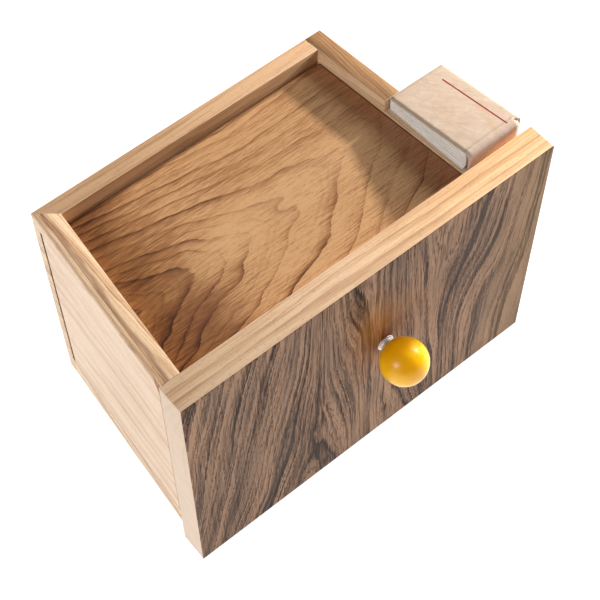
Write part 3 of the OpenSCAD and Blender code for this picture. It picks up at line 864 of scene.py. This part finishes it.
def leaf(bm, wedge, sides, ends, share, stations=9):
    """One gathered leaf of the wedge-shaped page block; share is its part of the block's height."""
    x0, x1 = sides
    low, high = wedge.z0 + 1.0, wedge.z_front - 1.15
    drop = WEDGE_DROP - 0.15
    sunk = sag(x1, x0, x1 + 3.0)
    loops = []
    for k in range(stations):
        y = ends[0] + (ends[1] - ends[0]) * k / (stations - 1)
        thick = high - drop * (y - wedge.y0) / (wedge.y1 - wedge.y0) - low
        za, zb = (low + thick * t for t in share)
        corners = ((x0, za), (x1, za - sunk * share[0]), (x1, zb - sunk * share[1]), (x0, zb))
        loops.append([bm.verts.new((x * MM, y * MM, z * MM)) for x, z in corners])
    close_tube(bm, loops, smooth=False)


def booklet(cover_mat, page_mat):
    """A small bound booklet: a folded cover, its round spine and a block of separate leaves."""
    wedge = Wedge()
    parts = (("booklet_case", cover_sheet(wedge), cover_mat, "cover_board", "booklet_cover"),
             ("booklet_fold", booklet_spine(wedge), cover_mat, "spine_paper", "booklet_spine"),
             ("booklet_leaves", page_block(wedge), page_mat, "pages", "booklet_pages"))
    for name, bm, mat, slot, node in parts:
        turn_booklet(bm)
        add_object(name, bm, mat, "booklet", node)


# ----------------------------------------------------------- boards and iron

def dress(mat, *names):
    """Gives CAD nodes that stay a better material."""
    for name in names:
        for s in NODES[name].material_slots:
            s.material = mat


def front():
    """The thick front board and the walnut on its face."""
    half = box_mm("front_board")[1].x
    oak = solid_wood("oak_front", "X", (-150.0, 120.0), 5.0, OAK_FRONT, 1.3, wobble=2.6, contrast=0.72,
                     ends=(half, srgb(222, 200, 180)), warm=(-40.0, 110.0, srgb(255, 240, 205)))
    eased("front_board", oak, 0.45)
    eased("front_veneer", walnut(), 0.18, 1)


def left_side():
    """The left wall with shade painted into its recess, the rail below, and the side panel that lies in the
    recess; rail and panel carry a painted shade line along their seam.
    """
    rail_lo, rail_hi = box_mm("left_rail")
    panel_lo, panel_hi = box_mm("side_slide")
    oak = solid_wood("oak_left", "Y", (-60.0, 168.0), 6.0, OAK_LEFT, 2.1, wobble=3.4, rubbed_and_lit=1.0,
                     stripe=(rail_lo, 5.2, panel_hi.z), recess=(rail_lo, 4.2, rail_hi.y, panel_hi.z - 8.0))
    rail = solid_wood("oak_rail", "Y", (40.0, -60.0), 6.0, OAK_RAIL, 7.9, seam=(panel_lo.z, 0.9))
    panel = solid_wood("oak_side_panel", "Y", (60.0, 320.0), 11.0, OAK_PANEL, 6.4, wobble=5.0,
                       contrast=0.7, seam=(panel_lo.z, 0.7))
    eased("left_wall", oak, 0.4)
    eased("left_rail", rail, 0.35)
    rubbed_and_lit_round_edge(eased("side_slide", panel, 0.3), oak)


def rubbed_and_lit_round_edge(board, rim):
    """The side panel's top shows the rim's wood, and its rounded edge is made pale by wear and a painted
    highlight.
    """
    top = box_mm("side_slide")[1].z
    board.data.materials.append(rim)
    arris = board.data.attributes["arris"].data
    for i, face in enumerate(board.data.polygons):
        if face.center.z / MM < top - 3.0:
            continue
        if face.normal.z > 0.15:
            face.material_index = 1
        # The rounded edge gets the pale edge colour: wear and a painted highlight.
        if 0.1 < face.normal.z < 0.98:
            arris[i].value = 1.0
            face.use_smooth = True


def back_and_right():
    """The rear wall, and the right wall with the booklet's notch."""
    back = solid_wood("oak_back", "X", (190.0, 90.0), 4.6, OAK_BACK, 3.7, wobble=2.2, contrast=0.75)
    right = solid_wood("oak_right", "Y", (150.0, 110.0), 5.4, OAK_RIGHT, 5.2)
    # A lighter copy of the right wall's wood that stands for light on its inner faces.
    lit = solid_wood("oak_right_painted_light", "Y", (150.0, 110.0), 5.4, OAK_PAINTED_LIGHT, 5.2, contrast=0.8)
    eased("back_board", back, 0.4)
    painted_light_notch(eased("right_wall", right, 0.4), lit)


def painted_light_notch(board, wood):
    """Painted light: a paler, lit-looking copy of the wall's wood on the tray's right inner face and inside
    the booklet's notch.
    """
    top = box_mm("right_wall")[1].z
    board.data.materials.append(wood)
    for face in board.data.polygons:
        notch_bed = face.normal.z > 0.9 and face.center.z / MM < top - 2.0
        if face.normal.x < -0.9 or face.normal.y < -0.9 or notch_bed:
            face.material_index = 1


def inside():
    """The bottom, the foot, the booklet's shelf, and the beech strips and dowels."""
    foot = solid_wood("oak_foot", "X", (40.0, -70.0), 6.0, OAK_PLAIN, 8.8)
    shelf = solid_wood("oak_shelf", "Y", (60.0, 120.0), 5.0, OAK_PLAIN, 9.3)
    along = solid_wood("beech_strips", "Y", (200.0, 60.0), 4.0, BEECH, 4.4, wobble=1.5, contrast=0.7)
    across = solid_wood("beech_cross", "X", (200.0, 60.0), 4.0, BEECH, 4.9, wobble=1.5, contrast=0.7)
    bottom = plywood("plywood_bottom", box_mm("bottom_board")[1].z, 1.0)
    eased("bottom_board", bottom, 0.25)
    eased("rear_foot", foot, 0.8)
    eased("booklet_shelf", shelf, 0.7)
    for ledge in ("left_ledge", "right_ledge"):
        eased(ledge, along, 0.5)
    eased("front_ledges", across, 0.5)
    dress(across, "front_dowels", "back_dowels")


def tray_floor():
    """The false floor that turns up, and the veneer on it."""
    veneer = floor_veneer_wood()
    ply = plywood("plywood_floor", box_mm("floor_veneer")[0].z, 4.0)
    veneer_rear_edge(eased("false_floor", ply, 0.25, slim=0.2), veneer)
    eased("floor_veneer", veneer, 0.15, 1, slim=0.2)


def veneer_rear_edge(board, veneer):
    """The veneer is carried on over the rounded rear edge of the false floor."""
    rear = box_mm("floor_veneer")[1].y - 0.05
    lo, hi = box_mm("false_floor")
    middle = (lo.z + hi.z) / 2
    board.data.materials.append(veneer)
    for face in board.data.polygons:
        if face.center.y / MM > rear and face.center.z / MM > middle and abs(face.normal.x) < 0.5:
            face.material_index = 1


def hardware():
    """Metal parts, the ball and its neck."""
    steel = metal("zinc_steel", srgb(196, 199, 204), 0.28)
    turned = metal("turned_steel", srgb(200, 203, 208), 0.2, spin=knob_axis())
    brass = metal("rolled_brass", srgb(212, 168, 92), 0.26)
    chrome = metal("polished_chrome", srgb(242, 239, 234), 0.38, 0.12, spin=knob_axis())
    dress(steel, "foot_screws", "shelf_screws", "keeper_screws", "hinge_pins", "latch_arm")
    dress(turned, "knob_stud", "knob_washer", "lock_nut")
    dress(brass, "keeper", "knob_bushing", "stop_pins")
    knob(lacquer(), chrome)


# ------------------------------------------------------------ stage and light

def stage(half_side=6.0):
    """A white sweep that is lit well past the object's own brightness."""
    n = Net("white_sweep")
    white = n.ramp(n.cloud(0.01), [(0.3, srgb(156, 156, 156)), (0.7, srgb(162, 162, 162))])
    n.set(Base_Color=white, Roughness=0.9, Emission_Color=(1.0, 1.0, 1.0, 1.0), Emission_Strength=0.93)
    bm = bmesh.new()
    corners = [(-1, -1), (1, -1), (1, 1), (-1, 1)]
    bm.faces.new([bm.verts.new((x * half_side, y * half_side, 0.0)) for x, y in corners])
    mesh = bpy.data.meshes.new("sweep")
    bm.to_mesh(mesh)
    bm.free()
    ob = bpy.data.objects.new("sweep", mesh)
    bpy.context.scene.collection.objects.link(ob)
    mesh.materials.append(n.mat)


def softbox(name, toward, distance, side, watts, colour, mirrored=True):
    """A square area light that looks at the box from the given direction."""
    data = bpy.data.lights.new(name, "AREA")
    data.shape = "RECTANGLE"
    data.size = side
    data.size_y = side
    data.energy = watts
    data.color = colour
    ob = bpy.data.objects.new(name, data)
    bpy.context.scene.collection.objects.link(ob)
    way = Vector(toward).normalized()
    ob.location = Vector((0.0, 0.0, 0.12)) + way * distance
    ob.rotation_euler = (-way).to_track_quat("-Z", "Y").to_euler()
    ob.visible_glossy = mirrored


def lights():
    """A dim white room, a hard low key and a soft high one from the right, two fills from the left."""
    world = bpy.data.worlds.new("studio")
    bpy.context.scene.world = world
    world.use_nodes = True
    background = world.node_tree.nodes["Background"]
    background.inputs["Color"].default_value = (1.0, 1.0, 1.0, 1.0)
    background.inputs["Strength"].default_value = 0.115
    warm, fair, neutral = (1.0, 0.97, 0.93), (1.0, 0.98, 0.95), (1.0, 0.99, 0.97)
    softbox("key", (0.93, 0.125, 0.31), 3.6, 0.2, 252.0, warm, mirrored=False)
    softbox("key_high", (0.852, -0.06, 0.52), 3.6, 1.3, 61.0, fair)
    softbox("left_fill", (-0.867, -0.069, 0.491), 2.6, 0.75, 20.5, neutral)
    softbox("left_low", (-0.97, -0.13, 0.16), 2.6, 0.7, 9.2, neutral, mirrored=False)


def camera():
    """The viewing angle of the reference: long lens from the upper left front."""
    azimuth, elevation, roll = (math.radians(a) for a in (-38.99, 58.36, -0.68))
    distance = 0.87718
    aim = Vector((-4.97, 0.26, 91.35)) * MM
    data = bpy.data.cameras.new("view")
    data.lens = 92.22
    data.sensor_width = 36.0
    data.clip_end = 20.0
    ob = bpy.data.objects.new("view", data)
    bpy.context.scene.collection.objects.link(ob)
    back = Vector((math.sin(azimuth) * math.cos(elevation), -math.cos(azimuth) * math.cos(elevation),
                   math.sin(elevation)))
    right = (-back).cross(Vector((0.0, 0.0, 1.0))).normalized()
    up = right.cross(-back)
    cam_x = right * math.cos(roll) + up * math.sin(roll)
    cam_y = up * math.cos(roll) - right * math.sin(roll)
    turn = Matrix((cam_x, cam_y, back)).transposed()
    ob.matrix_world = Matrix.Translation(aim + back * distance) @ turn.to_4x4()
    bpy.context.scene.camera = ob


front()
left_side()
back_and_right()
inside()
tray_floor()
hardware()
booklet(cover_paper(), page_paper())
stage()
lights()
camera()
bpy.context.scene.view_settings.view_transform = "Standard"
